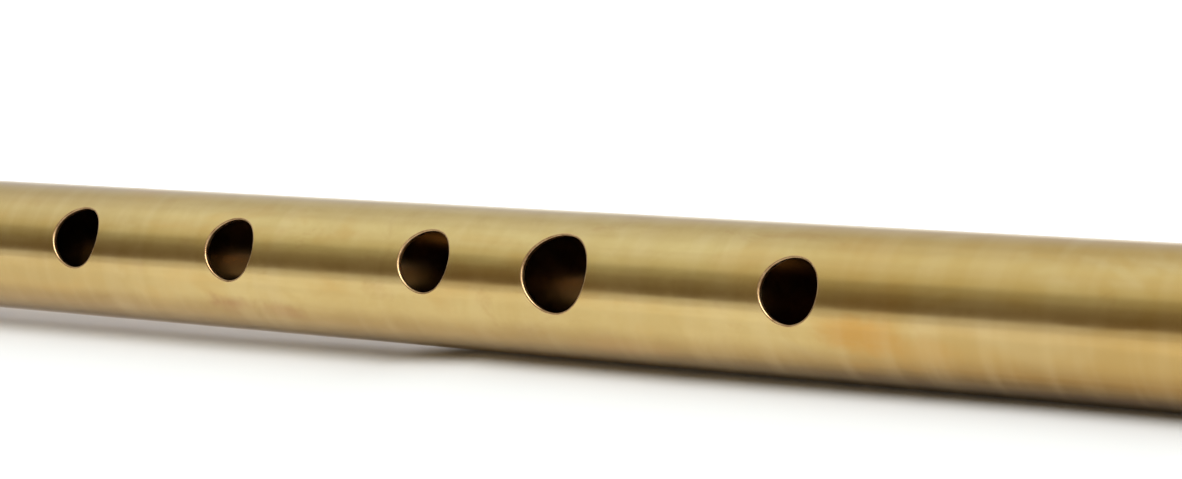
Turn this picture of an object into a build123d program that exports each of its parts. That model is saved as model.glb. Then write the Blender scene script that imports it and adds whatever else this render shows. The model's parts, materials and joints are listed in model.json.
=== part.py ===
"""Tuneable high D tin whistle: a thin brass tube with six finger holes, in a turned acetal head that
holds a cedar block, a brass labium, and the socket of a tuning slide.

Every piece is drawn in the playing frame and then laid on its side:
- playing frame: X runs along the bore from the mouthpiece to the foot, the foot's end face is x = 0, the
  bore's axis is y = z = 0, and the finger holes and the window look along +Z;
- row frame: the same X, turned about it, so that the holes look along -Y, HOLE_ELEVATION above level.
All lengths are in millimetres.
"""

import os
from math import hypot

from build123d import *

# How the whistle lies: how far its row of holes looks above level, in degrees.
HOLE_ELEVATION = 30.0

# Body tube.
TUBE_OD = 13.2
TUBE_WALL = 0.5
TUBE_LENGTH = 238.0
TUBE_END_BREAK = 0.12
HOLE_EDGE_BREAK = 0.2
# Finger holes from the foot up: distance from the foot, drill diameter, drift round the tube in degrees.
FINGER_HOLES = [
    (43.5, 5.60, -2.6),
    (68.0, 6.90, -1.0),
    (83.0, 5.70, 1.5),
    (107.2, 5.90, 0.2),
    (128.3, 5.95, 1.8),
    (147.6, 5.80, 0.6),
]

# Sounding end of the head.
LABIUM_TO_FOOT = 269.0
WINDOW_LENGTH = 5.2
WINDWAY_LENGTH = 27.0
WINDWAY_WIDTH = 8.0
WINDWAY_HEIGHT = 1.0
WINDWAY_EXIT_CHAMFER = 0.4
LABIUM_RISE = 0.45  # the edge, above the windway's floor
LABIUM_EDGE = 0.1  # the brass left at the edge
LABIUM_RAMP_LENGTH = 8.6
LABIUM_INSERT_LENGTH = 13.0

# Tuning slide.
SLIDE_PULLED_OUT = 3.0  # gap left at the shoulder when the whistle is in tune
SOCKET_DEPTH = 27.0
SLIDE_GAP = 0.05
LINER_WALL = 0.5
LINER_LENGTH = 15.0
RING_CORD = 1.0
RING_GAP = 0.02  # ring to tube, and ring to groove
GROOVE_LENGTH = 1.35
INNER_GROOVE_TO_MOUTH = 8.5

# Outside of the head.
LIP_RADIUS = 7.9
BARREL_RADIUS = 8.5
BEAD_RADIUS = 9.15
BEAD_LENGTH = 3.0
COVE_LENGTH = 7.0
LIP_TAPER_LENGTH = 32.0
BEAK_LENGTH = 22.0
BEAK_TIP_DROP = 0.6  # underside of the lip, below the bore's axis
BEAK_HOLLOW = 1.2  # how far the beak's underside is hollowed
LIP_ROUNDING = 0.8
TURNED_LINE_RADIUS = 0.25
TURNED_LINE_SPACING = 1.6
WINDOW_EDGE_BREAK = 0.15

# Brass ferrule over the socket's mouth, and the pin that holds the block in the head.
FERRULE_RADIUS = 9.0
FERRULE_WALL = 0.65
FERRULE_LENGTH = 9.0
FERRULE_LIP = 0.8
FERRULE_CLEARANCE = 0.15
FERRULE_END_BREAK = 0.3
PIN_RADIUS = 0.8
PIN_FROM_BLOCK_END = 3.0
PIN_DEPTH_IN_BLOCK = 3.6
PIN_SUNK = 0.1  # the pin's outer end, below the barrel's surface

FIT_GAP = 0.01  # left between pieces that are glued or pressed together
OVERSHOOT = 5.0  # how far a cutter runs past what it cuts

# Worked out from the dimensions above.
TUBE_RADIUS = TUBE_OD / 2
BORE_RADIUS = TUBE_RADIUS - TUBE_WALL
SLIDE_RADIUS = TUBE_RADIUS + SLIDE_GAP
LINER_RADIUS = SLIDE_RADIUS + LINER_WALL
GROOVE_RADIUS = TUBE_RADIUS + RING_CORD + 2 * RING_GAP
SEAT_RADIUS = FERRULE_RADIUS - FERRULE_WALL

LABIUM_X = -LABIUM_TO_FOOT
BLOCK_END_X = LABIUM_X - WINDOW_LENGTH
LIP_X = BLOCK_END_X - WINDWAY_LENGTH
SHOULDER_X = -TUBE_LENGTH - SLIDE_PULLED_OUT
MOUTH_X = SHOULDER_X + SOCKET_DEPTH
BARREL_END_X = MOUTH_X - FERRULE_LIP
FERRULE_START_X = MOUTH_X - FERRULE_LENGTH
BEAD_START_X = FERRULE_START_X - BEAD_LENGTH
COVE_START_X = BEAD_START_X - COVE_LENGTH
OUTER_GROOVE_X = BARREL_END_X - GROOVE_LENGTH
INNER_GROOVE_X = MOUTH_X - INNER_GROOVE_TO_MOUTH

ROOF_Z = BORE_RADIUS + FIT_GAP
FLOOR_Z = ROOF_Z - WINDWAY_HEIGHT
LABIUM_Z = FLOOR_Z + LABIUM_RISE
POCKET_BASE_Z = LABIUM_Z - LABIUM_EDGE
PIN_X = BLOCK_END_X - PIN_FROM_BLOCK_END


def rod(radius, start_x, end_x):
    """A solid cylinder on the bore's axis."""
    return Pos((start_x + end_x) / 2, 0, 0) * Rot(0, 90, 0) * Cylinder(radius, end_x - start_x)


def pipe(inner, outer, start_x, end_x):
    """A plain tube on the bore's axis."""
    return rod(outer, start_x, end_x) - rod(inner, start_x - OVERSHOOT, end_x + OVERSHOOT)


def slab(start_x, end_x, width, low_z, high_z):
    """A box centred on y = 0."""
    middle = Pos((start_x + end_x) / 2, 0, (low_z + high_z) / 2)
    return middle * Box(end_x - start_x, width, high_z - low_z)


def across(edges, width):
    """A closed outline in the XZ plane, made into a solid centred on y = 0."""
    return extrude(make_face(edges), width / 2, dir=(0, 1, 0), both=True)


def straight_outline(*corners):
    """The closed outline through corners given as x and z."""
    return Polyline(*[(x, 0, z) for x, z in corners], close=True).edges()


def cord_ring(centre_x, radius, cord_radius):
    """A ring of round section round the bore's axis."""
    return Pos(centre_x, 0, 0) * Rot(0, 90, 0) * Torus(radius, cord_radius)


def circles_at(shape, x, radius):
    """The round edges of a turned shape at one place along it."""
    found = []
    for edge in shape.edges().filter_by(GeomType.CIRCLE):
        same_place = abs(edge.center().X - x) < FIT_GAP / 2
        if same_place and abs(edge.radius - radius) < FIT_GAP / 2:
            found.append(edge)
    return found


def lay_down(shape):
    """Turns a piece from the playing frame into the row frame."""
    return Rot(90 - HOLE_ELEVATION, 0, 0) * shape


def hole_drill(distance, diameter, drift):
    """The drill for one finger hole, which stops at the bore's axis."""
    drill = Cylinder(diameter / 2, TUBE_OD, align=(Align.CENTER, Align.CENTER, Align.MIN))
    return Pos(-distance, 0, 0) * Rot(-drift, 0, 0) * drill


def hole_rims(tube):
    """The outer edge of every finger hole: the only edges that curve round two radii at once."""
    rims = []
    for edge in tube.edges().filter_by(GeomType.BSPLINE):
        middle = edge @ 0.25
        if hypot(middle.Y, middle.Z) > TUBE_RADIUS - TUBE_WALL / 2:
            rims.append(edge)
    return rims


def body_tube():
    """Thin brass tube with six finger holes, its outside edges lightly broken."""
    tube = pipe(BORE_RADIUS, TUBE_RADIUS, -TUBE_LENGTH, 0)
    ends = circles_at(tube, 0, TUBE_RADIUS) + circles_at(tube, -TUBE_LENGTH, TUBE_RADIUS)
    tube = chamfer(ends, TUBE_END_BREAK)
    for distance, diameter, drift in FINGER_HOLES:
        tube -= hole_drill(distance, diameter, drift)
    return chamfer(hole_rims(tube), HOLE_EDGE_BREAK)


def barrel_blank():
    """The head's outside as it leaves the lathe: taper, cylinder, cove, bead and ferrule seat."""
    lip = (LIP_X, 0, LIP_RADIUS)
    taper_end = (LIP_X + LIP_TAPER_LENGTH, 0, BARREL_RADIUS)
    cove_start = (COVE_START_X, 0, BARREL_RADIUS)
    cove_middle = (COVE_START_X + COVE_LENGTH * 0.6, 0, BARREL_RADIUS + 0.12)
    bead_start = (BEAD_START_X, 0, SEAT_RADIUS + 0.4)
    bead_top = (BEAD_START_X + BEAD_LENGTH / 2, 0, BEAD_RADIUS)
    bead_end = (FERRULE_START_X, 0, SEAT_RADIUS + 0.4)
    seat_start = (FERRULE_START_X, 0, SEAT_RADIUS)
    seat_end = (BARREL_END_X, 0, SEAT_RADIUS)
    outline = [
        Line((LIP_X, 0, 0), lip),
        Line(lip, taper_end),
        Line(taper_end, cove_start),
        ThreePointArc(cove_start, cove_middle, bead_start),
        ThreePointArc(bead_start, bead_top, bead_end),
        Line(bead_end, seat_start),
        Line(seat_start, seat_end),
        Line(seat_end, (BARREL_END_X, 0, 0)),
        Line((BARREL_END_X, 0, 0), (LIP_X, 0, 0)),
    ]
    return revolve(make_face(outline), Axis.X, 360)


def beak_cutter():
    """What is cut from the underside of the lip: a long hollow curve."""
    beak_end_x = LIP_X + BEAK_LENGTH
    low_z = -BARREL_RADIUS - OVERSHOOT
    start = (LIP_X, 0, -BEAK_TIP_DROP)
    end = (beak_end_x, 0, -BARREL_RADIUS)
    middle = (LIP_X + (BEAK_LENGTH + BEAK_HOLLOW) / 2, 0, BEAK_HOLLOW - (BARREL_RADIUS + BEAK_TIP_DROP) / 2)
    outline = [
        ThreePointArc(start, middle, end),
        Line(end, (beak_end_x, 0, low_z)),
        Line((beak_end_x, 0, low_z), (LIP_X - OVERSHOOT, 0, low_z)),
        Line((LIP_X - OVERSHOOT, 0, low_z), (LIP_X - OVERSHOOT, 0, -BEAK_TIP_DROP)),
        Line((LIP_X - OVERSHOOT, 0, -BEAK_TIP_DROP), start),
    ]
    return across(outline, 4 * BARREL_RADIUS)


def head_form():
    """The head's whole outside, as if it were solid, with the lip and the beak rounded for the mouth."""
    form = barrel_blank()
    for step in (1, 2):
        form -= cord_ring(COVE_START_X - step * TURNED_LINE_SPACING, BARREL_RADIUS, TURNED_LINE_RADIUS)
    form -= beak_cutter()
    beak_end_x = LIP_X + BEAK_LENGTH
    mouth_edges = [edge for edge in form.edges() if edge.bounding_box().max.X < beak_end_x + FIT_GAP]
    return fillet(mouth_edges, LIP_ROUNDING)


def pin_rod(radius, low_z, high_z):
    """A rod across the bore, under the end of the block."""
    return Pos(PIN_X, 0, (low_z + high_z) / 2) * Cylinder(radius, high_z - low_z)


def window_rim(barrel):
    """The outside edges of the window and of the pocket beyond it."""
    rim_start = BLOCK_END_X - FIT_GAP
    rim_end = LABIUM_X + LABIUM_INSERT_LENGTH + 2 * FIT_GAP
    rim = []
    for edge in barrel.edges():
        box = edge.bounding_box()
        within = box.min.X > rim_start and box.max.X < rim_end and box.size.Y < WINDWAY_WIDTH + FIT_GAP
        if within and box.min.Z > LABIUM_Z + 1:
            rim.append(edge)
    return rim


def head_barrel():
    """Turned acetal head, open all along: lip, windway roof, window, bore and socket."""
    barrel = head_form() - rod(BORE_RADIUS, LIP_X - OVERSHOOT, SHOULDER_X)
    barrel -= rod(SLIDE_RADIUS, SHOULDER_X, BARREL_END_X + OVERSHOOT)
    barrel -= rod(LINER_RADIUS + FIT_GAP, SHOULDER_X, SHOULDER_X + LINER_LENGTH + FIT_GAP)
    barrel -= rod(GROOVE_RADIUS, INNER_GROOVE_X, INNER_GROOVE_X + GROOVE_LENGTH)
    barrel -= rod(GROOVE_RADIUS, OUTER_GROOVE_X, BARREL_END_X + OVERSHOOT)
    barrel -= slab(LIP_X - OVERSHOOT, LABIUM_X, WINDWAY_WIDTH, 0, ROOF_Z)
    barrel -= slab(BLOCK_END_X, LABIUM_X, WINDWAY_WIDTH, 0, 2 * BARREL_RADIUS)
    pocket_end = LABIUM_X + LABIUM_INSERT_LENGTH + FIT_GAP
    barrel -= slab(LABIUM_X, pocket_end, WINDWAY_WIDTH, POCKET_BASE_Z, 2 * BARREL_RADIUS)
    barrel -= pin_rod(PIN_RADIUS + FIT_GAP, -2 * BARREL_RADIUS, 0)
    return chamfer(window_rim(barrel), WINDOW_EDGE_BREAK)


def fipple_plug():
    """Cedar block: it fills the bore under the windway, and its flat top is the windway's floor."""
    radius = BORE_RADIUS - FIT_GAP
    key_width = WINDWAY_WIDTH - 2 * FIT_GAP
    plug = rod(radius, LIP_X, BLOCK_END_X) + slab(LIP_X, BLOCK_END_X, key_width, 0, BORE_RADIUS)
    plug -= slab(LIP_X - OVERSHOOT, BLOCK_END_X + OVERSHOOT, 2 * WINDWAY_WIDTH, FLOOR_Z, 2 * BORE_RADIUS)
    exit_corner = straight_outline(
        (BLOCK_END_X - WINDWAY_EXIT_CHAMFER, FLOOR_Z),
        (BLOCK_END_X, FLOOR_Z),
        (BLOCK_END_X, FLOOR_Z - WINDWAY_EXIT_CHAMFER),
    )
    plug -= across(exit_corner, 2 * WINDWAY_WIDTH)
    plug -= pin_rod(PIN_RADIUS + FIT_GAP, -2 * BORE_RADIUS, PIN_DEPTH_IN_BLOCK - BORE_RADIUS + FIT_GAP)
    return plug & head_form()


def labium_insert():
    """Brass edge that splits the air: a ramp down to the window, flush with the barrel behind it."""
    base_z = POCKET_BASE_Z + FIT_GAP
    end_x = LABIUM_X + LABIUM_INSERT_LENGTH
    ramp_end_x = LABIUM_X + LABIUM_RAMP_LENGTH
    outline = straight_outline(
        (LABIUM_X, base_z),
        (end_x, base_z),
        (end_x, BARREL_RADIUS + 1),
        (ramp_end_x, BARREL_RADIUS + 1),
        (ramp_end_x, BARREL_RADIUS),
        (LABIUM_X, LABIUM_Z),
    )
    wedge = across(outline, WINDWAY_WIDTH - 2 * FIT_GAP)
    return wedge & rod(BARREL_RADIUS, LABIUM_X - 1, end_x + 1)


def socket_ferrule():
    """Brass cap over the socket's mouth: it stops the barrel splitting and keeps the outer ring in."""
    ferrule = rod(FERRULE_RADIUS, FERRULE_START_X + FIT_GAP, MOUTH_X)
    ferrule -= rod(SEAT_RADIUS + FIT_GAP, FERRULE_START_X - OVERSHOOT, BARREL_END_X + FIT_GAP)
    ferrule -= rod(TUBE_RADIUS + FERRULE_CLEARANCE, FERRULE_START_X, MOUTH_X + OVERSHOOT)
    for share in (0.3, 0.42):
        line_x = FERRULE_START_X + share * FERRULE_LENGTH
        ferrule -= cord_ring(line_x, FERRULE_RADIUS, TURNED_LINE_RADIUS)
    return chamfer(circles_at(ferrule, MOUTH_X, FERRULE_RADIUS), FERRULE_END_BREAK)


def slide_liner():
    """Thin brass liner in the inner part of the socket."""
    return pipe(SLIDE_RADIUS, LINER_RADIUS, SHOULDER_X + FIT_GAP, SHOULDER_X + LINER_LENGTH)


def plug_pin():
    """Brass pin through the underside of the head into the block."""
    surface = LIP_RADIUS + (BARREL_RADIUS - LIP_RADIUS) * (PIN_X - LIP_X) / LIP_TAPER_LENGTH
    return pin_rod(PIN_RADIUS, PIN_SUNK - surface, PIN_DEPTH_IN_BLOCK - BORE_RADIUS)


def tuning_o_ring(groove_x):
    """Rubber ring in one of the socket's grooves."""
    return cord_ring(groove_x + GROOVE_LENGTH / 2, TUBE_RADIUS + RING_GAP + RING_CORD / 2, RING_CORD / 2)


def all_parts():
    """Every piece by its node's name, in the playing frame."""
    return {
        "body_tube": body_tube(),
        "head_barrel": head_barrel(),
        "fipple_plug": fipple_plug(),
        "labium_insert": labium_insert(),
        "socket_ferrule": socket_ferrule(),
        "slide_liner": slide_liner(),
        "plug_pin": plug_pin(),
        "tuning_o_ring_inner": tuning_o_ring(INNER_GROOVE_X),
        "tuning_o_ring_outer": tuning_o_ring(OUTER_GROOVE_X),
    }


os.makedirs("parts", exist_ok=True)
for node, shape in all_parts().items():
    export_step(lay_down(shape), f"parts/{node}.step")
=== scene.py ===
import json
import math

import bpy
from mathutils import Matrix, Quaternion, Vector


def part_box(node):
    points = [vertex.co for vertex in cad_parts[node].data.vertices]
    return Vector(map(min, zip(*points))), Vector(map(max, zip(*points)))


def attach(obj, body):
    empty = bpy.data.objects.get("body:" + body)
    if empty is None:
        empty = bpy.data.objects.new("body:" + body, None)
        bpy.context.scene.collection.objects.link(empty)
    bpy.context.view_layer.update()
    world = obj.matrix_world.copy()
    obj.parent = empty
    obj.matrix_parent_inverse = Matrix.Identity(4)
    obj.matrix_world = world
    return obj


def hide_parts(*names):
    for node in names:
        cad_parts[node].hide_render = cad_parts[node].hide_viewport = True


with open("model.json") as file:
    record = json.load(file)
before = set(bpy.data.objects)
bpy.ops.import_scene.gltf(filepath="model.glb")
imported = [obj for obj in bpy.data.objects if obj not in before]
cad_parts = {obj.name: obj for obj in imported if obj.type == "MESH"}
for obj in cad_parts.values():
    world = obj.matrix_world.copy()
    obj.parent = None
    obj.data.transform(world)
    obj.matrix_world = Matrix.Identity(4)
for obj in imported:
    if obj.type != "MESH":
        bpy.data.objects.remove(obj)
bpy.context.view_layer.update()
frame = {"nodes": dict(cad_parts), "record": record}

MM = 0.001
MOUNTS = {mount["name"]: mount for mount in frame["record"]["mounts"]}

# The whistle's own sizes, in metres. They are the CAD model's.
TUBE_RADIUS = MOUNTS["holder_span"]["dims"]["r_mm"] * MM
BORE_RADIUS = MOUNTS["foot_bore"]["dims"]["r_mm"] * MM
TUBE_LENGTH = MOUNTS["foot_bore"]["dims"]["length_mm"] * MM
ROW_ELEVATION = math.radians(30.0)  # how far the row of holes looks above level
# Finger holes from the foot up: distance from the foot, diameter, drift round the tube in degrees.
FINGER_HOLES = [
    (43.5 * MM, 5.60 * MM, -2.6),
    (68.0 * MM, 6.90 * MM, -1.0),
    (83.0 * MM, 5.70 * MM, 1.5),
    (107.2 * MM, 5.90 * MM, 0.2),
    (128.3 * MM, 5.95 * MM, 1.8),
    (147.6 * MM, 5.80 * MM, 0.6),
]


# ---------------------------------------------------------------- mesh building

SMOOTH_ANGLE = math.radians(40)  # edges sharper than this stay sharp


class Shell:
    """Points, faces and materials of one mesh, collected loop by loop in the whistle's own frame."""

    def __init__(self):
        self.points = []
        self.normals = []
        self.faces = []
        self.face_slots = []

    def add(self, points, normals=None):
        """Adds points and returns their indices. A normal of None leaves the shading to the faces."""
        start = len(self.points)
        self.points.extend(points)
        self.normals.extend(normals if normals is not None else [(0.0, 0.0, 0.0)] * len(points))
        return list(range(start, len(self.points)))

    def quad(self, corners, slot=0, flip=False):
        self.faces.append(tuple(reversed(corners)) if flip else corners)
        self.face_slots.append(slot)

    def bridge(self, first, second, closed=True, slot=0, flip=False):
        """Quads between two loops of the same length."""
        count = len(first)
        for k in range(count if closed else count - 1):
            n = (k + 1) % count
            self.quad((first[k], first[n], second[n], second[k]), slot, flip)

    def build(self, name, materials, smooth_angle=SMOOTH_ANGLE):
        """The finished object, with smooth shading that breaks only at real edges."""
        mesh = bpy.data.meshes.new(name)
        mesh.from_pydata(self.points, [], self.faces)
        mesh.validate()
        for material in materials:
            mesh.materials.append(material)
        mesh.polygons.foreach_set("material_index", self.face_slots)
        mesh.polygons.foreach_set("use_smooth", [True] * len(mesh.polygons))
        obj = bpy.data.objects.new(name, mesh)
        bpy.context.scene.collection.objects.link(obj)
        mesh.set_sharp_from_angle(angle=smooth_angle)
        if any(any(n) for n in self.normals):
            mesh.normals_split_custom_set_from_vertices(self.normals)
        return obj


def on_axis_circle(x, angle, radius):
    """A point at an angle above -Y, measured about the whistle's axis."""
    return (x, -radius * math.cos(angle), radius * math.sin(angle))


def radial(angle, sign=1.0):
    return (0.0, -sign * math.cos(angle), sign * math.sin(angle))


# ---------------------------------------------------------------- body tube

TUBE_SEGMENTS = 160
PATCH_HALF_SEGMENTS = 20
PATCH_HALF_LENGTH = 6.0 * MM
PATCH_STEPS = 16
PATCH_RINGS = 7
STATION_GAP = 2.5 * MM
RIM_ROUNDING = 0.2 * MM
INNER_RIM_ROUNDING = 0.08 * MM
ROUNDING_STEPS = 5
END_ROUNDING = 0.12 * MM
END_INNER_BREAK = 0.05 * MM
RING_CROWDING = 1.4  # above 1, a patch's rings lie closer together near the rim
CORNER_GAP_SHARE = 0.3  # how far in from its two sides a round corner's middle lies, over its radius
OUTSIDE, INSIDE, EDGE = 0, 1, 2  # the tube's material slots
STOP_GAP = 0.01 * MM  # left between the tube and the head's shoulder when the head is pushed right home
HEAD_END_X = -TUBE_LENGTH + STOP_GAP


def spaced(start, end, count):
    """Evenly spaced places from start to end, without the start."""
    return [start + (end - start) * (k + 1) / count for k in range(count)]


def tube_stations():
    """Places along the tube with a line of points, and which of them bound each hole's patch."""
    stations = [HEAD_END_X + END_ROUNDING]
    patches = []
    for distance, _, _ in reversed(FINGER_HOLES):
        start, end = -distance - PATCH_HALF_LENGTH, -distance + PATCH_HALF_LENGTH
        stations += spaced(stations[-1], start, max(1, round((start - stations[-1]) / STATION_GAP)))
        first = len(stations) - 1
        stations += spaced(start, end, PATCH_STEPS)
        patches.append((first, len(stations) - 1))
    stations += spaced(stations[-1], -END_ROUNDING, round((-END_ROUNDING - stations[-1]) / STATION_GAP))
    return stations, patches[::-1]


def hole_ring(hole, bearing, lateral, radius):
    """Where a cylinder of that radius has a point at that distance from the drill's axis, as x and angle."""
    distance, _, drift = hole
    across = lateral * math.sin(bearing)
    offset = math.asin(across / radius)
    angle = ROW_ELEVATION + math.radians(drift) + offset
    return -distance + lateral * math.cos(bearing), angle


def tube_wall(shell, radius, sign, slot, rim_rounding):
    """One wall of the tube, outer or inner, up to each hole's rim. Returns its end loops and rims."""
    stations, patches = tube_stations()
    half = PATCH_HALF_SEGMENTS
    inside, covered = set(), set()
    for first, last in patches:
        inside.update((i, j % TUBE_SEGMENTS) for i in range(first + 1, last) for j in range(1 - half, half))
        covered.update((i, j % TUBE_SEGMENTS) for i in range(first, last) for j in range(-half, half))
    grid = {}
    for i, x in enumerate(stations):
        for j in range(TUBE_SEGMENTS):
            if (i, j) not in inside:
                angle = ROW_ELEVATION + 2 * math.pi * j / TUBE_SEGMENTS
                point = on_axis_circle(x, angle, radius)
                grid[i, j] = shell.add([point], [radial(angle, sign)])[0]
    for i in range(len(stations) - 1):
        for j in range(TUBE_SEGMENTS):
            if (i, j) not in covered:
                n = (j + 1) % TUBE_SEGMENTS
                corners = (grid[i, j], grid[i, n], grid[i + 1, n], grid[i + 1, j])
                shell.quad(corners, slot, flip=sign > 0)
    rims = []
    for hole, (first, last) in zip(FINGER_HOLES, patches):
        rim_lateral = hole[1] / 2 + rim_rounding
        rims.append(hole_patch(shell, grid, stations, hole, first, last, radius, sign, slot, rim_lateral))
    ends = [[grid[i, j] for j in range(TUBE_SEGMENTS)] for i in (0, len(stations) - 1)]
    return ends, rims


def hole_patch(shell, grid, stations, hole, first, last, radius, sign, slot, rim_lateral):
    """Rings of quads from a rectangle of the wall's grid in to a hole's rim."""
    half = PATCH_HALF_SEGMENTS
    border = [(i, -half) for i in range(first, last)]
    border += [(last, j) for j in range(-half, half)]
    border += [(i, half) for i in range(last, first, -1)]
    border += [(first, j) for j in range(half, -half, -1)]
    distance, _, drift = hole
    places, bearings = [], []
    for i, j in border:
        along = stations[i] + distance
        turn = 2 * math.pi * j / TUBE_SEGMENTS - math.radians(drift)
        places.append((along, turn))
        bearings.append(math.atan2(TUBE_RADIUS * turn, along))
    outer = [grid[i, j % TUBE_SEGMENTS] for i, j in border]
    rim = [hole_ring(hole, bearing, rim_lateral, radius) for bearing in bearings]
    centre = ROW_ELEVATION + math.radians(drift)
    loop = outer
    for step in range(PATCH_RINGS - 1, -1, -1):
        share = (step / PATCH_RINGS) ** RING_CROWDING
        points, normals = [], []
        for (along, turn), (rim_x, rim_angle) in zip(places, rim):
            x = rim_x + (along - distance - rim_x) * share
            angle = rim_angle + (centre + turn - rim_angle) * share
            points.append(on_axis_circle(x, angle, radius))
            normals.append(radial(angle, sign))
        ring = shell.add(points, normals)
        shell.bridge(loop, ring, slot=slot, flip=sign < 0)
        loop = ring
    return loop, bearings


def body_tube(outside, inside, edge):
    """The brass tube as one closed skin: both walls, the holes' rounded rims and the two cut ends."""
    shell = Shell()
    outer_ends, outer_rims = tube_wall(shell, TUBE_RADIUS, 1, OUTSIDE, RIM_ROUNDING)
    inner_ends, inner_rims = tube_wall(shell, BORE_RADIUS, -1, INSIDE, INNER_RIM_ROUNDING)
    for hole, (outer, bearings), (inner, _) in zip(FINGER_HOLES, outer_rims, inner_rims):
        loop = outer
        for lateral, radius in rim_profile(hole[1] / 2):
            points = [on_axis_circle(x, angle, radius)
                      for x, angle in (hole_ring(hole, b, lateral, radius) for b in bearings)]
            ring = shell.add(points)
            shell.bridge(loop, ring, slot=EDGE)
            loop = ring
        shell.bridge(loop, inner, slot=EDGE)
    for outer, inner, end_x, inwards in ((outer_ends[0], inner_ends[0], HEAD_END_X, 1),
                                         (outer_ends[1], inner_ends[1], 0.0, -1)):
        loop = outer
        for x, radius in end_profile(end_x, inwards):
            angles = [ROW_ELEVATION + 2 * math.pi * j / TUBE_SEGMENTS for j in range(TUBE_SEGMENTS)]
            ring = shell.add([on_axis_circle(x, angle, radius) for angle in angles])
            shell.bridge(loop, ring, flip=inwards < 0)
            loop = ring
        shell.bridge(loop, inner, flip=inwards < 0)
    return shell.build("brass_tube", [outside, inside, edge])


def rim_profile(hole_radius):
    """Down a hole's side from outer rim to inner, as distance from the drill's axis and radius."""
    profile = []
    for step in range(1, ROUNDING_STEPS + 1):
        turn = math.pi / 2 * step / ROUNDING_STEPS
        profile.append((hole_radius + RIM_ROUNDING * (1 - math.sin(turn)),
                        TUBE_RADIUS - RIM_ROUNDING * (1 - math.cos(turn))))
    profile.append((hole_radius, BORE_RADIUS + INNER_RIM_ROUNDING))
    corner_gap = CORNER_GAP_SHARE * INNER_RIM_ROUNDING
    profile.append((hole_radius + corner_gap, BORE_RADIUS + corner_gap))
    return profile


def end_profile(end_x, inwards):
    """Round the cut end from the outer wall to the inner one, as x and radius."""
    profile = []
    for step in range(1, ROUNDING_STEPS + 1):
        turn = math.pi / 2 * step / ROUNDING_STEPS
        profile.append((end_x + inwards * END_ROUNDING * (1 - math.sin(turn)),
                        TUBE_RADIUS - END_ROUNDING * (1 - math.cos(turn))))
    profile.append((end_x, BORE_RADIUS + END_INNER_BREAK))
    profile.append((end_x + inwards * END_INNER_BREAK, BORE_RADIUS))
    return profile


# ---------------------------------------------------------------- turned pieces

TURNED_SEGMENTS = 144
TURNED_SMOOTH_ANGLE = math.radians(32)
CORNER_STEPS = 4
GROOVE_STEPS = 10
FERRULE_WALL = 0.65 * MM
FERRULE_LIP = 0.8 * MM
FERRULE_CLEARANCE = 0.15 * MM
FERRULE_ROUNDING = 0.3 * MM
TURNED_LINE_RADIUS = 0.25 * MM
TURNED_LINES = (0.3, 0.42)  # along the ferrule, as shares of its length
LINER_WALL = 0.5 * MM
EDGE_ROUNDING = 0.06 * MM
FIT_GAP = 0.01 * MM
PIN_RADIUS = 0.8 * MM
PIN_INNER_END = 2.5 * MM  # from the bore's axis
PIN_OUTER_END = 8.19 * MM
PIN_X = -277.2 * MM
PIN_DOME = 0.25 * MM
PIN_BREAK = 0.2 * MM
PIN_INNER_FLATS = (0.35, 0.8)  # loops on its inner end, over its radius
PIN_SEGMENTS = 36
PIN_SMOOTH_ANGLE = math.radians(50)
CORD_SEGMENTS = 36


def arc(centre, radius, start, end, steps):
    """Points on an arc from one angle to another, in radians."""
    turns = [start + (end - start) * k / steps for k in range(steps + 1)]
    return [(centre[0] + radius * math.cos(t), centre[1] + radius * math.sin(t)) for t in turns]


def rounded(corners):
    """An outline of x and radius, from corners with their rounding. A rounding of 0 keeps the corner."""
    outline = []
    for k, (x, r, rounding) in enumerate(corners):
        here = Vector((x, r))
        if not rounding:
            outline.append((x, r))
            continue
        before = (Vector(corners[k - 1][:2]) - here).normalized()
        after = (Vector(corners[(k + 1) % len(corners)][:2]) - here).normalized()
        half = before.angle(after) / 2
        start = here + before * rounding / math.tan(half)
        end = here + after * rounding / math.tan(half)
        middle = here + (before + after).normalized() * rounding / math.sin(half)
        first_spoke = (start - middle).normalized()
        last_spoke = (end - middle).normalized()
        for step in range(CORNER_STEPS + 1):
            spoke = first_spoke.slerp(last_spoke, step / CORNER_STEPS)
            outline.append(tuple(middle + spoke * rounding))
    return outline


def turned(name, outline, material):
    """A ring turned about the whistle's axis. Its outline, x right and radius up, runs anticlockwise."""
    shell = Shell()
    angles = [2 * math.pi * k / TURNED_SEGMENTS for k in range(TURNED_SEGMENTS)]
    loops = [shell.add([on_axis_circle(x, angle, r) for angle in angles]) for x, r in outline]
    for k, loop in enumerate(loops):
        shell.bridge(loop, loops[(k + 1) % len(loops)])
    return shell.build(name, [material], smooth_angle=TURNED_SMOOTH_ANGLE)


def socket_ferrule(material):
    """The brass cap over the socket's mouth, with two turned lines and its outer edge rounded."""
    low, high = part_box("socket_ferrule")
    start, mouth, radius = low.x, high.x, high.z
    seat = radius - FERRULE_WALL + FIT_GAP
    step = mouth - FERRULE_LIP + FIT_GAP
    bore = TUBE_RADIUS + FERRULE_CLEARANCE
    corners = [(start, seat, 0), (step, seat, 0), (step, bore, EDGE_ROUNDING),
               (mouth, bore, 2 * EDGE_ROUNDING), (mouth, radius, FERRULE_ROUNDING)]
    outline = rounded(corners + [(start, radius, 0)])[:-1]
    for share in reversed(TURNED_LINES):
        line_x = start + share * (mouth - start)
        outline += arc((line_x, radius), TURNED_LINE_RADIUS, 0, -math.pi, GROOVE_STEPS)
    closing = corners[-1:] + [(start, radius, 1.5 * EDGE_ROUNDING), (start, seat, 0)]
    outline += rounded(closing)[-CORNER_STEPS - 2:-1]
    return turned("brass_ferrule", outline, material)


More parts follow.
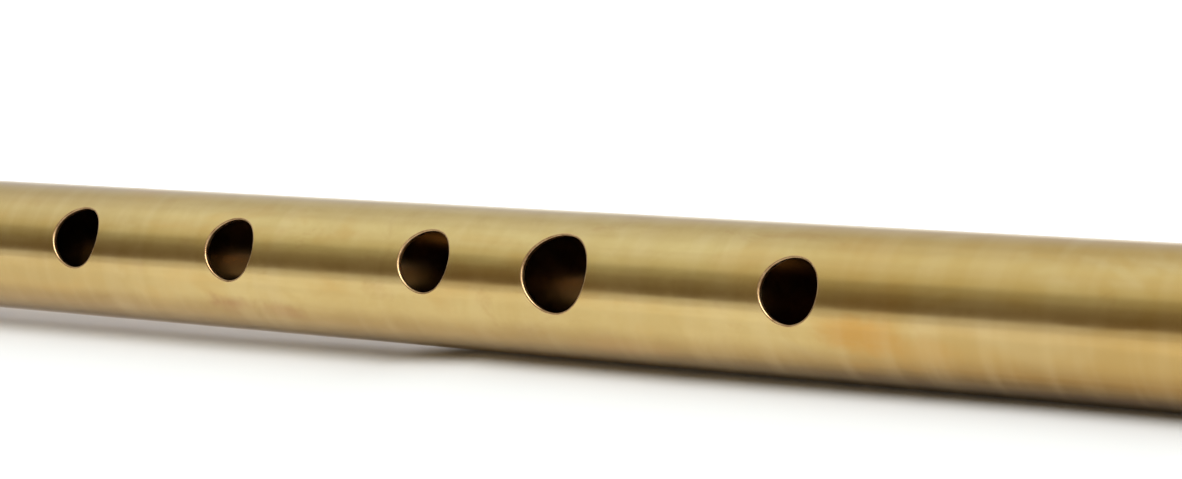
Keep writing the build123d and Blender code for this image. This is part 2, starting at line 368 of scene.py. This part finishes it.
def slide_liner(material):
    """The thin brass liner of the socket's inner part."""
    low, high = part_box("slide_liner")
    inner = high.z - LINER_WALL
    return turned("brass_liner", rounded([
        (low.x, inner, EDGE_ROUNDING), (high.x, inner, 2 * EDGE_ROUNDING),
        (high.x, high.z, EDGE_ROUNDING), (low.x, high.z, EDGE_ROUNDING)]), material)


def o_ring(node, material):
    """One of the slide's two rubber rings."""
    low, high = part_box(node)
    cord = (high.x - low.x) / 2
    centre = ((low.x + high.x) / 2, high.z - cord)
    outline = arc(centre, cord, 0, 2 * math.pi, CORD_SEGMENTS)[:-1]
    return turned(node.replace("tuning_o_ring", "rubber_ring"), outline, material)


def block_pin(material):
    """The brass pin through the underside of the head, with a domed outer end."""
    outward = Vector(radial(ROW_ELEVATION + math.pi))
    sideways = Vector((1, 0, 0))
    around = outward.cross(sideways)
    profile = [(PIN_INNER_END, share * PIN_RADIUS) for share in PIN_INNER_FLATS]
    profile += [(PIN_INNER_END + PIN_BREAK, PIN_RADIUS), (PIN_OUTER_END - PIN_DOME, PIN_RADIUS)]
    for step in range(1, CORNER_STEPS + 1):
        turn = math.pi / 2 * step / (CORNER_STEPS + 1)
        profile.append((PIN_OUTER_END - PIN_DOME * (1 - math.sin(turn)), PIN_RADIUS * math.cos(turn)))
    shell = Shell()
    loops = []
    for height, radius in profile:
        ring = []
        for k in range(PIN_SEGMENTS):
            turn = 2 * math.pi * k / PIN_SEGMENTS
            spoke = (sideways * math.cos(turn) + around * math.sin(turn)) * radius
            ring.append(tuple(Vector((PIN_X, 0, 0)) + outward * height + spoke))
        loops.append(shell.add(ring))
    for first, second in zip(loops, loops[1:]):
        shell.bridge(first, second)
    for loop, height, flip in ((loops[0], PIN_INNER_END, True), (loops[-1], PIN_OUTER_END, False)):
        centre = shell.add([tuple(Vector((PIN_X, 0, 0)) + outward * height)])[0]
        for k in range(0, PIN_SEGMENTS, 2):
            corners = (loop[k], loop[k + 1], loop[(k + 2) % PIN_SEGMENTS], centre)
            shell.quad(corners, flip=flip)
    return shell.build("brass_pin", [material], smooth_angle=PIN_SMOOTH_ANGLE)


# ---------------------------------------------------------------- materials

class Nodes:
    """Short calls for building one node tree."""

    def __init__(self, tree):
        self.tree = tree

    def node(self, kind, **settings):
        made = self.tree.nodes.new(kind)
        for key, value in settings.items():
            if key == "inputs":
                for socket, entry in value.items():
                    self.feed(made.inputs[socket], entry)
            else:
                setattr(made, key, value)
        return made

    def feed(self, socket, entry):
        if isinstance(entry, bpy.types.NodeSocket):
            self.tree.links.new(entry, socket)
        else:
            socket.default_value = entry

    def math(self, operation, a, b=0.0, c=0.0, clamp=False):
        return self.node("ShaderNodeMath", operation=operation, use_clamp=clamp,
                         inputs={0: a, 1: b, 2: c}).outputs[0]

    def ramp(self, value, low, high, out_low=0.0, out_high=1.0):
        """A smooth step from out_low to out_high as value goes from low to high."""
        made = self.node("ShaderNodeMapRange", interpolation_type="SMOOTHSTEP",
                         inputs={0: value, 1: low, 2: high, 3: out_low, 4: out_high})
        return made.outputs[0]

    def vector(self, operation, a, b=(0.0, 0.0, 0.0), output="Vector"):
        return self.node("ShaderNodeVectorMath", operation=operation, inputs={0: a, 1: b}).outputs[output]

    def scaled(self, vector, scale):
        return self.vector("MULTIPLY", vector, scale)

    def noise(self, vector, scale, detail=2.0, roughness=0.5, distortion=0.0):
        """Noise about 0.5, at so many cells per metre."""
        made = self.node("ShaderNodeTexNoise", inputs={
            "Vector": vector, "Scale": scale, "Detail": detail,
            "Roughness": roughness, "Distortion": distortion})
        return made.outputs[0]

    def bump(self, height, distance, normal=None):
        """A normal tilted by the height, laid over another normal if one is given."""
        inputs = {"Strength": 1.0, "Distance": distance, "Height": height}
        if normal is not None:
            inputs["Normal"] = normal
        return self.node("ShaderNodeBump", inputs=inputs).outputs[0]

    def mix(self, factor, a, b, blend="MIX"):
        made = self.node("ShaderNodeMix", data_type="RGBA", blend_type=blend)
        self.feed(made.inputs[0], factor)
        self.feed(made.inputs[6], a)
        self.feed(made.inputs[7], b)
        return made.outputs[2]


def new_material(name):
    material = bpy.data.materials.new(name)
    material.use_nodes = True
    tree = material.node_tree
    nodes = Nodes(tree)
    shader = tree.nodes["Principled BSDF"]
    place = nodes.node("ShaderNodeTexCoord").outputs["Object"]
    return material, nodes, shader, place


def rgb(r, g, b):
    return (r, g, b, 1.0)


# Stains where fingers have rested: centre, half length, half width, strength and colour.
STAINS = [
    ((-37.0 * MM, -6.6 * MM, -0.3 * MM), 6.5 * MM, 2.2 * MM, 0.95, (0.56, 0.30, 0.075)),
    ((-31.0 * MM, -6.5 * MM, -1.2 * MM), 5.0 * MM, 2.0 * MM, 0.60, (0.54, 0.31, 0.09)),
    ((-107.5 * MM, -6.3 * MM, -2.0 * MM), 5.0 * MM, 1.5 * MM, 0.85, (0.42, 0.235, 0.10)),
    ((-101.0 * MM, -6.1 * MM, -2.5 * MM), 4.0 * MM, 1.2 * MM, 0.70, (0.44, 0.25, 0.105)),
    ((-62.0 * MM, -5.6 * MM, -3.5 * MM), 7.0 * MM, 1.5 * MM, 0.45, (0.52, 0.32, 0.13)),
]


STAIN_RAGGEDNESS = 1.8  # how far the noise moves a stain's edge, over its half width


def stained(nodes, place, colour, breaks):
    """The colour with soft stains over it, their edges broken up by a noise."""
    for centre, half_length, half_width, strength, tint in STAINS:
        offset = nodes.vector("SUBTRACT", place, centre)
        shrunk = nodes.scaled(offset, (1 / half_length, 1 / half_width, 1 / half_width))
        reach = nodes.vector("LENGTH", shrunk, output="Value")
        moved = nodes.math("MULTIPLY_ADD", breaks, STAIN_RAGGEDNESS, -STAIN_RAGGEDNESS / 2)
        reach = nodes.math("ADD", reach, moved)
        colour = nodes.mix(nodes.ramp(reach, 1.0, 0.2, 0.0, strength), colour, rgb(*tint))
    return colour


def pits(nodes, place, per_metre, size, share):
    """Small round dots: 1 inside a dot, for that share of the cells. Size is a part of a cell."""
    cells = nodes.node("ShaderNodeTexVoronoi", inputs={"Vector": place, "Scale": per_metre})
    chosen = nodes.math("LESS_THAN", cells.outputs["Color"], share)
    near = nodes.ramp(cells.outputs["Distance"], size, size * 0.5)
    return nodes.math("MULTIPLY", chosen, near)


def brass_outside():
    """Bare brass that has been handled: drawn along, polished round, mottled and warm in patches, with
    painted shade low on it and towards the head.
    """
    material, nodes, shader, place = new_material("satin_brass")
    draw_lines = nodes.noise(nodes.scaled(place, (14.0, 800.0, 800.0)), 1.0, 4.0, 0.6)
    round_lines = nodes.noise(nodes.scaled(place, (3000.0, 60.0, 60.0)), 1.0, 3.0, 0.6)
    round_bands = nodes.noise(nodes.scaled(place, (380.0, 40.0, 40.0)), 1.0, 2.0, 0.5)
    mottle = nodes.noise(place, 210.0, 5.0, 0.65, 0.5)
    patches = nodes.noise(nodes.scaled(place, (1.0, 1.8, 1.8)), 62.0, 3.0, 0.6, 0.8)
    stains = nodes.noise(nodes.scaled(place, (1.0, 1.5, 1.5)), 118.0, 5.0, 0.7, 0.6)
    waves = nodes.noise(nodes.scaled(place, (0.5, 1.6, 1.6)), 150.0, 2.0, 0.5)

    parts = nodes.node("ShaderNodeSeparateXYZ", inputs={0: place})
    along, height = parts.outputs["X"], parts.outputs["Z"]
    ragged = nodes.math("MULTIPLY_ADD", nodes.math("SUBTRACT", patches, 0.5), 50.0 * MM, along)
    colour = nodes.mix(nodes.ramp(mottle, 0.32, 0.68), rgb(0.585, 0.415, 0.163), rgb(0.635, 0.465, 0.195))
    colour = nodes.mix(nodes.ramp(ragged, -50.0 * MM, -22.0 * MM, 0.0, 0.8), colour, rgb(0.565, 0.365, 0.12))
    # Painted shade: duller towards the head, where the highlight dims.
    colour = nodes.mix(nodes.ramp(ragged, -102.0 * MM, -134.0 * MM, 0.0, 0.8), colour, rgb(0.51, 0.345, 0.13))
    colour = nodes.mix(nodes.ramp(patches, 0.52, 0.70, 0.0, 0.6), colour, rgb(0.57, 0.355, 0.115))
    colour = nodes.mix(nodes.ramp(patches, 0.46, 0.32, 0.0, 0.5), colour, rgb(0.66, 0.50, 0.24))
    colour = nodes.mix(nodes.ramp(stains, 0.57, 0.72, 0.0, 0.35), colour, rgb(0.47, 0.275, 0.10))
    # Painted shade: the brass is darkened on its lower side, below the axis, with a ragged edge.
    painted_shade_height = nodes.math("MULTIPLY_ADD", nodes.math("SUBTRACT", patches, 0.5), 2.0 * MM, height)
    colour = nodes.mix(nodes.ramp(painted_shade_height, -1.0 * MM, -3.2 * MM), colour, rgb(0.76, 0.70, 0.66), "MULTIPLY")
    # Painted shade: darker still low on the underside, more so towards the foot.
    foot_underside_shade = nodes.math("MULTIPLY", nodes.ramp(painted_shade_height, -2.6 * MM, -4.2 * MM),
                        nodes.ramp(along, -85.0 * MM, -24.0 * MM))
    colour = nodes.mix(foot_underside_shade, colour, rgb(0.56, 0.53, 0.50), "MULTIPLY")
    # Painted shade: the lower half a little darker near the foot.
    foot_lower_shade = nodes.math("MULTIPLY", nodes.ramp(painted_shade_height, 2.6 * MM, 0.6 * MM),
                           nodes.ramp(along, -46.0 * MM, -22.0 * MM))
    colour = nodes.mix(foot_lower_shade, colour, rgb(0.88, 0.85, 0.82), "MULTIPLY")
    colour = stained(nodes, place, colour, mottle)
    colour = nodes.mix(nodes.ramp(draw_lines, 0.35, 0.65, 0.0, 0.22), colour, rgb(0.50, 0.355, 0.14))
    colour = nodes.mix(nodes.ramp(round_bands, 0.40, 0.72, 0.0, 0.22), colour, rgb(0.68, 0.52, 0.27))
    pit = pits(nodes, place, 260.0, 0.045, 0.16)
    colour = nodes.mix(nodes.math("MULTIPLY", pit, 0.7), colour, rgb(0.13, 0.08, 0.035))
    nodes.feed(shader.inputs["Base Color"], colour)

    shader.inputs["Metallic"].default_value = 1.0
    rough = nodes.math("ADD", nodes.ramp(mottle, 0.3, 0.7, 0.12, 0.17),
                       nodes.math("MULTIPLY", nodes.math("ADD", draw_lines, round_lines), 0.03))
    rough = nodes.math("ADD", rough, nodes.ramp(stains, 0.57, 0.75, 0.0, 0.05))
    nodes.feed(shader.inputs["Roughness"], rough)
    broad = nodes.bump(waves, 0.045 * MM)
    drawn = nodes.bump(draw_lines, 0.0028 * MM, broad)
    nodes.feed(shader.inputs["Normal"], nodes.bump(round_lines, 0.0010 * MM, drawn))
    return material


def brass_inside():
    """The bore: dark, dull, oxidised brass."""
    material, nodes, shader, place = new_material("oxidised_brass")
    mottle = nodes.noise(place, 260.0, 4.0, 0.6)
    nodes.feed(shader.inputs["Base Color"],
               nodes.mix(mottle, rgb(0.25, 0.145, 0.06), rgb(0.40, 0.235, 0.10)))
    shader.inputs["Metallic"].default_value = 1.0
    nodes.feed(shader.inputs["Roughness"], nodes.ramp(mottle, 0.3, 0.7, 0.17, 0.27))
    return material


def brass_edge():
    """The finger holes' rims: brown with tarnish that polishing round the tube doesn't reach."""
    material, nodes, shader, place = new_material("rim_brass")
    mottle = nodes.noise(place, 900.0, 4.0, 0.6)
    nodes.feed(shader.inputs["Base Color"],
               nodes.mix(nodes.ramp(mottle, 0.35, 0.65), rgb(0.38, 0.225, 0.11), rgb(0.56, 0.37, 0.19)))
    shader.inputs["Metallic"].default_value = 1.0
    nodes.feed(shader.inputs["Roughness"], nodes.ramp(mottle, 0.3, 0.7, 0.26, 0.40))
    return material


def turned_brass():
    """The head's brass: polished on the lathe, with fine rings and a little tarnish."""
    material, nodes, shader, place = new_material("turned_brass")
    rings = nodes.noise(nodes.scaled(place, (5200.0, 40.0, 40.0)), 1.0, 3.0, 0.6)
    tarnish = nodes.noise(place, 190.0, 5.0, 0.65, 0.6)
    handled = nodes.noise(place, 75.0, 3.0, 0.6)
    colour = nodes.mix(nodes.ramp(handled, 0.35, 0.65), rgb(0.66, 0.475, 0.19), rgb(0.72, 0.54, 0.24))
    colour = nodes.mix(nodes.ramp(tarnish, 0.54, 0.72, 0.0, 0.6), colour, rgb(0.50, 0.30, 0.11))
    pit = pits(nodes, place, 330.0, 0.05, 0.1)
    colour = nodes.mix(nodes.math("MULTIPLY", pit, 0.6), colour, rgb(0.2, 0.12, 0.05))
    nodes.feed(shader.inputs["Base Color"], colour)
    shader.inputs["Metallic"].default_value = 1.0
    rough = nodes.math("ADD", nodes.ramp(tarnish, 0.4, 0.7, 0.12, 0.26), nodes.math("MULTIPLY", rings, 0.06))
    nodes.feed(shader.inputs["Roughness"], rough)
    nodes.feed(shader.inputs["Normal"], nodes.bump(rings, 0.0022 * MM))
    return material


def filed_brass():
    """The labium's brass: drawn flat with a fine file, so its lines run along the whistle."""
    material, nodes, shader, place = new_material("filed_brass")
    lines = nodes.noise(nodes.scaled(place, (60.0, 3600.0, 3600.0)), 1.0, 3.0, 0.65)
    tarnish = nodes.noise(place, 300.0, 4.0, 0.65, 0.4)
    colour = nodes.mix(nodes.ramp(lines, 0.3, 0.7), rgb(0.60, 0.43, 0.17), rgb(0.70, 0.52, 0.23))
    colour = nodes.mix(nodes.ramp(tarnish, 0.52, 0.72, 0.0, 0.5), colour, rgb(0.47, 0.29, 0.11))
    nodes.feed(shader.inputs["Base Color"], colour)
    shader.inputs["Metallic"].default_value = 1.0
    rough = nodes.math("ADD", nodes.ramp(tarnish, 0.4, 0.7, 0.2, 0.3), nodes.math("MULTIPLY", lines, 0.08))
    nodes.feed(shader.inputs["Roughness"], rough)
    nodes.feed(shader.inputs["Normal"], nodes.bump(lines, 0.004 * MM))
    return material


def black_acetal():
    """Black acetal off the lathe: fine tool rings, patches rubbed shinier by handling, faint scuffs."""
    material, nodes, shader, place = new_material("black_acetal")
    tool_rings = nodes.noise(nodes.scaled(place, (4200.0, 25.0, 25.0)), 1.0, 3.0, 0.6)
    rubbed = nodes.noise(place, 70.0, 3.0, 0.55, 0.5)
    grain = nodes.noise(place, 2600.0, 2.0, 0.5)
    scuffs = nodes.noise(nodes.scaled(place, (240.0, 1500.0, 900.0)), 1.0, 4.0, 0.7, 0.8)
    scuffed = nodes.math("MULTIPLY", nodes.ramp(scuffs, 0.60, 0.68), nodes.ramp(rubbed, 0.42, 0.6))
    colour = nodes.mix(nodes.ramp(rubbed, 0.3, 0.7), rgb(0.011, 0.0108, 0.0112), rgb(0.019, 0.0185, 0.0185))
    colour = nodes.mix(nodes.math("MULTIPLY", scuffed, 0.3), colour, rgb(0.07, 0.068, 0.066))
    nodes.feed(shader.inputs["Base Color"], colour)
    rough = nodes.math("ADD", nodes.ramp(rubbed, 0.34, 0.64, 0.42, 0.29),
                       nodes.math("MULTIPLY", tool_rings, 0.07))
    rough = nodes.math("ADD", rough, nodes.math("MULTIPLY", scuffed, 0.15))
    nodes.feed(shader.inputs["Roughness"], rough)
    shader.inputs["IOR"].default_value = 1.48
    ringed = nodes.bump(tool_rings, 0.006 * MM)
    nodes.feed(shader.inputs["Normal"], nodes.bump(grain, 0.002 * MM, ringed))
    return material


RING_SPACING = 0.85 * MM
PITH = (0.0, 13.0 * MM, -17.0 * MM)


def cedar():
    """Cedar, its grain along the whistle: growth rings about a pith outside the block, fibres, dark pores."""
    material, nodes, shader, place = new_material("cedar")
    from_pith = nodes.vector("DISTANCE", nodes.scaled(place, (0.0, 1.0, 1.0)), PITH, output="Value")
    wander = nodes.noise(nodes.scaled(place, (0.25, 1.0, 1.0)), 240.0, 2.0, 0.5)
    rings = nodes.math("ADD", nodes.math("DIVIDE", from_pith, RING_SPACING),
                       nodes.math("MULTIPLY", wander, 1.1))
    late = nodes.ramp(nodes.math("FRACT", rings), 0.45, 0.95)
    fibres = nodes.noise(nodes.scaled(place, (90.0, 5200.0, 5200.0)), 1.0, 3.0, 0.65)
    pores = nodes.ramp(nodes.noise(nodes.scaled(place, (420.0, 9500.0, 9500.0)), 1.0, 1.0, 0.5), 0.64, 0.74)
    colour = nodes.mix(late, rgb(0.40, 0.185, 0.085), rgb(0.235, 0.090, 0.038))
    colour = nodes.mix(nodes.ramp(fibres, 0.3, 0.7, 0.0, 0.45), colour, rgb(0.46, 0.235, 0.115))
    colour = nodes.mix(nodes.math("MULTIPLY", pores, 0.4), colour, rgb(0.14, 0.055, 0.025))
    nodes.feed(shader.inputs["Base Color"], colour)
    nodes.feed(shader.inputs["Roughness"], nodes.ramp(fibres, 0.3, 0.7, 0.50, 0.66))
    height = nodes.math("SUBTRACT", nodes.math("MULTIPLY", fibres, 0.6), nodes.math("MULTIPLY", pores, 0.5))
    nodes.feed(shader.inputs["Normal"], nodes.bump(height, 0.03 * MM))
    return material


def ring_rubber():
    """Matte black rubber with a bloom of grease and a little dust."""
    material, nodes, shader, place = new_material("ring_rubber")
    bloom = nodes.noise(place, 700.0, 4.0, 0.6)
    nodes.feed(shader.inputs["Base Color"],
               nodes.mix(bloom, rgb(0.010, 0.010, 0.011), rgb(0.032, 0.031, 0.030)))
    nodes.feed(shader.inputs["Roughness"], nodes.ramp(bloom, 0.35, 0.65, 0.42, 0.62))
    nodes.feed(shader.inputs["Normal"], nodes.bump(bloom, 0.01 * MM))
    return material


# ---------------------------------------------------------------- studio

FLOOR_HALF_SIZE = 4.5
PAINTED_FALLOFF_START = 30.0 * MM  # to either side of the whistle, where the table's painted shade starts and it turns less white
PAINTED_FALLOFF_END = 70.0 * MM  # and where that painted shade is full


def sheet_profile():
    """The table's soft covering, as x and height above the tube's underside.

    It bears the tube's middle, falls away to the fatter head, and the foot sinks into it a little.
    """
    head_low = min(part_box(node)[0].z for node in ("head_barrel", "socket_ferrule"))
    return [
        (-222.0 * MM, head_low + TUBE_RADIUS),
        (-150.0 * MM, -1.15 * MM),
        (-112.0 * MM, -0.95 * MM),
        (-91.0 * MM, -0.75 * MM),
        (-80.0 * MM, 0.0),
        (-58.0 * MM, 0.0),
        (-40.0 * MM, 0.2 * MM),
        (-22.0 * MM, 0.4 * MM),
    ]


def floor():
    """A large white table top under the whistle, with painted shade that makes it less white away from it."""
    half = FLOOR_HALF_SIZE
    profile = sheet_profile()
    profile = [(-half, profile[0][1])] + profile + [(half, profile[-1][1])]
    shell = Shell()
    near = shell.add([(x, -half, rise - TUBE_RADIUS) for x, rise in profile])
    far = shell.add([(x, half, rise - TUBE_RADIUS) for x, rise in profile])
    shell.bridge(near, far, closed=False)
    material, nodes, shader, place = new_material("white_table")
    aside = nodes.math("ABSOLUTE", nodes.node("ShaderNodeSeparateXYZ", inputs={0: place}).outputs["Y"])
    # Painted shade: the table turns less white away from the whistle, as if less light fell there.
    nodes.feed(shader.inputs["Base Color"],
               nodes.mix(nodes.ramp(aside, PAINTED_FALLOFF_START, PAINTED_FALLOFF_END),
                         rgb(0.75, 0.755, 0.77), rgb(0.66, 0.665, 0.675)))
    shader.inputs["Roughness"].default_value = 1.0
    shader.inputs["Specular IOR Level"].default_value = 0.0
    obj = shell.build("table_top", [material])


# Light from the room by angle about the whistle's axis, in degrees: 0 is the near horizon, 90 overhead
# and 180 the far horizon.
ROOM_LIGHT = [
    (0, (0.86, 0.865, 0.86)),
    (9, (0.76, 0.77, 0.77)),
    (14, (0.235, 0.19, 0.135)),
    (22, (0.21, 0.17, 0.11)),
    (34, (0.28, 0.243, 0.172)),
    (48, (0.45, 0.435, 0.325)),
    (62, (0.85, 0.87, 0.74)),
    (77, (0.98, 1.04, 1.02)),
    (93, (1.06, 1.16, 1.18)),
    (112, (0.92, 0.98, 0.98)),
    (134, (0.75, 0.77, 0.71)),
    (167, (0.68, 0.69, 0.72)),
    (176, (1.0, 1.0, 1.0)),
]
ROOM_STRENGTH = 1.2


def room():
    """The studio's light: a bright low strip and a dim band on the near side, a long soft light overhead,
    and a white far wall."""
    world = bpy.data.worlds.new("studio")
    bpy.context.scene.world = world
    world.use_nodes = True
    nodes = Nodes(world.node_tree)
    background = world.node_tree.nodes["Background"]
    direction = nodes.node("ShaderNodeTexCoord").outputs["Generated"]
    parts = nodes.node("ShaderNodeSeparateXYZ", inputs={0: direction})
    near = nodes.math("MULTIPLY", parts.outputs["Y"], -1.0)
    above = nodes.math("MAXIMUM", parts.outputs["Z"], 0.0)
    share = nodes.math("DIVIDE", nodes.math("ARCTAN2", above, near), math.pi, clamp=True)
    ramp = nodes.node("ShaderNodeValToRGB", inputs={0: share})
    ramp.color_ramp.interpolation = "EASE"
    stops = ramp.color_ramp.elements
    while len(stops) > 1:
        stops.remove(stops[-1])
    for index, (degrees, colour) in enumerate(ROOM_LIGHT):
        stop = stops[0] if index == 0 else stops.new(degrees / 180)
        stop.position = degrees / 180
        stop.color = rgb(*(value / ROOM_STRENGTH for value in colour))
    nodes.feed(background.inputs["Color"], ramp.outputs[0])
    background.inputs["Strength"].default_value = ROOM_STRENGTH


# Distant soft lights: the way towards each, its strength and how wide it looks, in degrees.
# Both stand beyond the foot, where the camera doesn't see them in the tube.
SOFT_LIGHTS = [
    ("front_light", (0.50, -0.37, 0.83), 2.62, 38),
    ("back_light", (0.60, 0.70, 0.19), 5.5, 18),
]


def soft_light(name, towards, energy, spread):
    light = bpy.data.lights.new(name, "SUN")
    light.energy = energy
    light.angle = math.radians(spread)
    obj = bpy.data.objects.new(name, light)
    bpy.context.scene.collection.objects.link(obj)
    obj.rotation_mode = "QUATERNION"
    obj.rotation_quaternion = Vector(towards).to_track_quat("Z", "Y")


# ---------------------------------------------------------------- camera

CAMERA_PLACE = (94.6 * MM, -202.2 * MM, 74.5 * MM)
CAMERA_YAW = math.radians(38.79)
CAMERA_PITCH = math.radians(15.13)
CAMERA_ROLL = math.radians(8.43)
CAMERA_LENS = 92.5
SENSOR_WIDTH = 36.0
CLIP_START = 0.01
CLIP_END = 50.0


def camera():
    data = bpy.data.cameras.new("camera")
    data.lens = CAMERA_LENS
    data.sensor_width = SENSOR_WIDTH
    data.clip_start = CLIP_START
    data.clip_end = CLIP_END
    obj = bpy.data.objects.new("camera", data)
    bpy.context.scene.collection.objects.link(obj)
    obj.location = CAMERA_PLACE
    forward = Vector((-math.sin(CAMERA_YAW) * math.cos(CAMERA_PITCH),
                      math.cos(CAMERA_YAW) * math.cos(CAMERA_PITCH),
                      -math.sin(CAMERA_PITCH)))
    obj.rotation_mode = "QUATERNION"
    obj.rotation_quaternion = Quaternion(forward, CAMERA_ROLL) @ forward.to_track_quat("-Z", "Y")
    bpy.context.scene.camera = obj


# ---------------------------------------------------------------- assembly

bpy.context.scene.view_settings.view_transform = "Standard"

tube = body_tube(brass_outside(), brass_inside(), brass_edge())
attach(tube, "tube")
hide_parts("body_tube")

head_brass = turned_brass()
for piece, node in ((socket_ferrule(head_brass), "socket_ferrule"),
                    (slide_liner(head_brass), "slide_liner"),
                    (block_pin(head_brass), "plug_pin")):
    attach(piece, "head")
    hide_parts(node)

rubber = ring_rubber()
for node in ("tuning_o_ring_inner", "tuning_o_ring_outer"):
    piece = o_ring(node, rubber)
    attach(piece, "slide_rings")
    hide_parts(node)

# The CAD's own barrel, block and labium keep their exact shapes and take detailed materials.
for node, material in (("head_barrel", black_acetal()),
                       ("fipple_plug", cedar()),
                       ("labium_insert", filed_brass())):
    frame["nodes"][node].material_slots[0].material = material

floor()
room()
for light in SOFT_LIGHTS:
    soft_light(*light)
camera()
